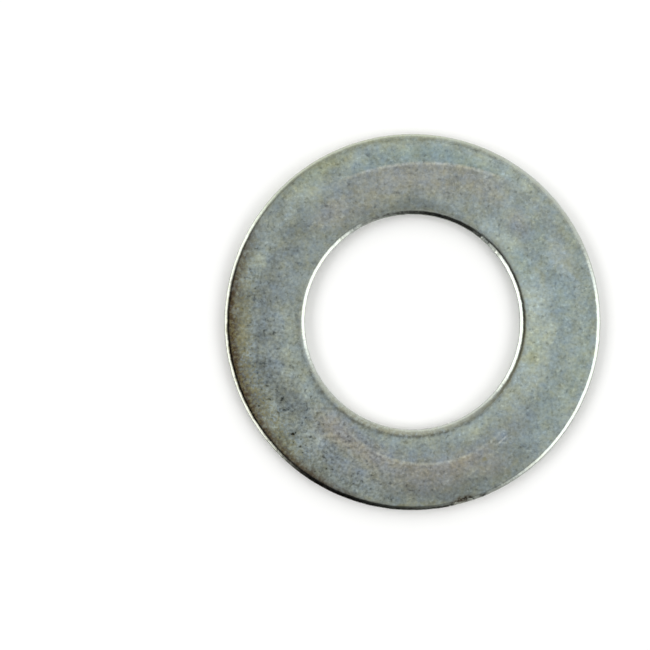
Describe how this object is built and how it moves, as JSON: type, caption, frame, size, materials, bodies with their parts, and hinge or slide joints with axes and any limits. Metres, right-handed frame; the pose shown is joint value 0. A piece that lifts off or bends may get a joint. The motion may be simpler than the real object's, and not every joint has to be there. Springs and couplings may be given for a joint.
{
  "type": "flat washer",
  "caption": "Flat stamped steel washer with a plain round bore, both sheared edges rolled over on the upper face, zinc plated and dulled by handling.",
  "frame": {"origin": "the bore's axis at the lower face, on which the washer lies", "axes": "+Z along the bore's axis, from the lower, torn-edge face to the upper, rolled-edge face; +X and +Y are the picture's right and up"},
  "size_m": [0.0444, 0.0444, 0.0016],
  "materials": {
    "zinc_plate": "dull zinc plate with a thin passivate film, mottled grey-green with blue, brown and straw tints, brighter on the sheared edges"
  },
  "bodies": {
    "root": {"flat_washer": "zinc_plate"}
  },
  "joints": []
}
